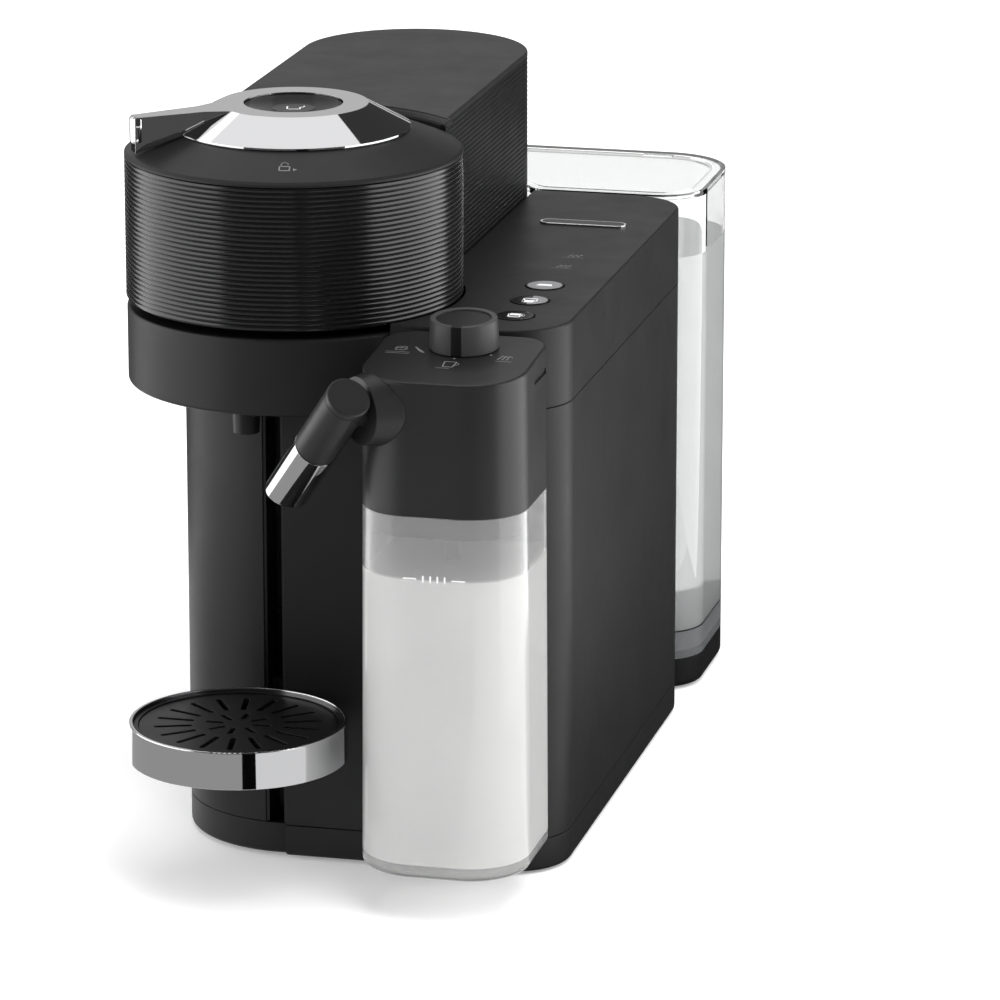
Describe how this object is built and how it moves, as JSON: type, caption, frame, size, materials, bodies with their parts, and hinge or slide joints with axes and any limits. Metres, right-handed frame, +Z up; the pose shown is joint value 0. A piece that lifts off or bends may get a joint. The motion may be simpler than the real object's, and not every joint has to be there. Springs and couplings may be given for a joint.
{
  "type": "pod coffee machine",
  "caption": "Capsule coffee machine with a ribbed opening brewing head, a sliding cup support, a milk carafe with a swinging spout, touch controls and a rear water tank.",
  "frame": {"origin": "on the floor, under the middle of the whole machine with its carafe and tank", "axes": "-Y is the front with the coffee outlet and the carafe, +Y the back with the water tank, +X the side with the carafe and the buttons, +Z up"},
  "size_m": [0.199, 0.4488, 0.3165],
  "materials": {
    "casing": "fine moulded grain, anthracite",
    "drum": "satin, with fine ribs round it",
    "dark_plastic": "matte black",
    "lid_plastic": "fine moulded grain, dark grey",
    "gloss_black": "gloss black",
    "chrome": "mirror",
    "steel": "brushed",
    "aluminium": "cast",
    "board": "coated circuit board",
    "rubber": "matte",
    "clear_plastic": "clear",
    "smoked_plastic": "smoked clear",
    "lamp_white": "translucent white"
  },
  "bodies": {
    "machine": {"base_plate": "casing", "rubber_feet": "rubber", "base_screws": "steel", "left_casing": "casing", "right_casing": "casing", "tray_rail": "dark_plastic", "control_cover": "casing", "ridge_cover": "casing", "ridge_front": "casing", "ridge_top": "casing", "head_collar": "casing", "collar_deck": "casing", "coffee_outlet": "casing", "badge": "chrome", "indicator_lamps": "lamp_white", "chassis": "dark_plastic", "water_pump": "steel", "heater_block": "aluminium", "control_board": "board", "drive_motor": "steel", "motor_bracket": "dark_plastic", "flow_meter": "dark_plastic", "tank_plinth": "casing", "tank_socket": "dark_plastic", "steam_port": "steel", "power_inlet": "dark_plastic", "hinge_pin": "steel"},
    "brew_head": {"head_drum": "drum", "head_cap": "casing", "injection_plate": "dark_plastic", "head_core": "dark_plastic", "head_seal": "rubber"},
    "lever": {"lock_lever": "chrome"},
    "start_button": {"brew_button": "gloss_black"},
    "spin_cup": {"capsule_cup": "dark_plastic", "cup_shaft": "steel"},
    "cup_support": {"tray_ring": "chrome", "tray_dish": "dark_plastic", "tray_arm": "dark_plastic"},
    "grid": {"drip_grid": "dark_plastic"},
    "jug": {"milk_jug": "clear_plastic"},
    "jug_lid": {"carafe_lid": "lid_plastic", "lid_skirt": "lid_plastic", "froth_valve": "dark_plastic", "milk_tube": "dark_plastic", "spout_collar": "lid_plastic"},
    "froth_dial": {"froth_knob": "lid_plastic", "knob_cap": "lid_plastic"},
    "milk_spout": {"spout_body": "lid_plastic", "spout_tip": "chrome"},
    "button_a": {"control_button_1": "gloss_black"},
    "button_b": {"control_button_2": "gloss_black"},
    "button_c": {"control_button_3": "gloss_black"},
    "water_tank": {"tank_shell": "clear_plastic", "tank_band": "smoked_plastic", "tank_valve": "dark_plastic"},
    "tank_cover": {"tank_lid": "clear_plastic"}
  },
  "joints": [
    {"name": "head_tilt", "type": "hinge", "parent": "machine", "child": "brew_head", "pos_m": [-0.0285, -0.00765, 0.2964], "axis": [-1, 0, 0], "range_deg": [0, 40]},
    {"name": "lever_turn", "type": "hinge", "parent": "brew_head", "child": "lever", "pos_m": [-0.0285, -0.08565, 0.307], "axis": [0, 0, 1], "range_deg": [0, 70]},
    {"name": "brew_press", "type": "slide", "parent": "brew_head", "child": "start_button", "axis": [0, 0, -1], "range_m": [0, 0.0015], "stiffness_N_per_m": 800, "springref_m": -0.002},
    {"name": "cup_spin", "type": "hinge", "parent": "machine", "child": "spin_cup", "pos_m": [-0.0285, -0.08565, 0.21], "axis": [0, 0, 1], "continuous": true},
    {"name": "support_slide", "type": "slide", "parent": "machine", "child": "cup_support", "axis": [0, 0, 1], "range_m": [-0.036, 0.04]},
    {"name": "grid_lift", "type": "slide", "parent": "cup_support", "child": "grid", "axis": [0, 0, 1], "range_m": [0, 0.03]},
    {"name": "jug_pull", "type": "slide", "parent": "machine", "child": "jug", "axis": [0, -1, 0], "range_m": [0, 0.12]},
    {"name": "lid_lift", "type": "slide", "parent": "jug", "child": "jug_lid", "axis": [0, 0, 1], "range_m": [0, 0.15]},
    {"name": "froth_turn", "type": "hinge", "parent": "jug_lid", "child": "froth_dial", "pos_m": [0.0621, -0.15565, 0.23354], "axis": [0, -0.0698, 0.9976], "range_deg": [-70, 50]},
    {"name": "spout_swing", "type": "hinge", "parent": "jug_lid", "child": "milk_spout", "pos_m": [0.03367, -0.19788, 0.2164], "axis": [-0.7071, -0.7071, 0], "range_deg": [-30, 45]},
    {"name": "button_a_press", "type": "slide", "parent": "machine", "child": "button_a", "axis": [0, 0, -1], "range_m": [0, 0.0012], "stiffness_N_per_m": 1000, "springref_m": -0.001},
    {"name": "button_b_press", "type": "slide", "parent": "machine", "child": "button_b", "axis": [0, 0, -1], "range_m": [0, 0.0012], "stiffness_N_per_m": 1000, "springref_m": -0.001},
    {"name": "button_c_press", "type": "slide", "parent": "machine", "child": "button_c", "axis": [0, 0, -1], "range_m": [0, 0.0012], "stiffness_N_per_m": 1000, "springref_m": -0.001},
    {"name": "tank_lift", "type": "slide", "parent": "machine", "child": "water_tank", "axis": [0, 0, 1], "range_m": [0, 0.12]},
    {"name": "tank_lid_lift", "type": "slide", "parent": "water_tank", "child": "tank_cover", "axis": [0, 0, 1], "range_m": [0, 0.04]}
  ]
}
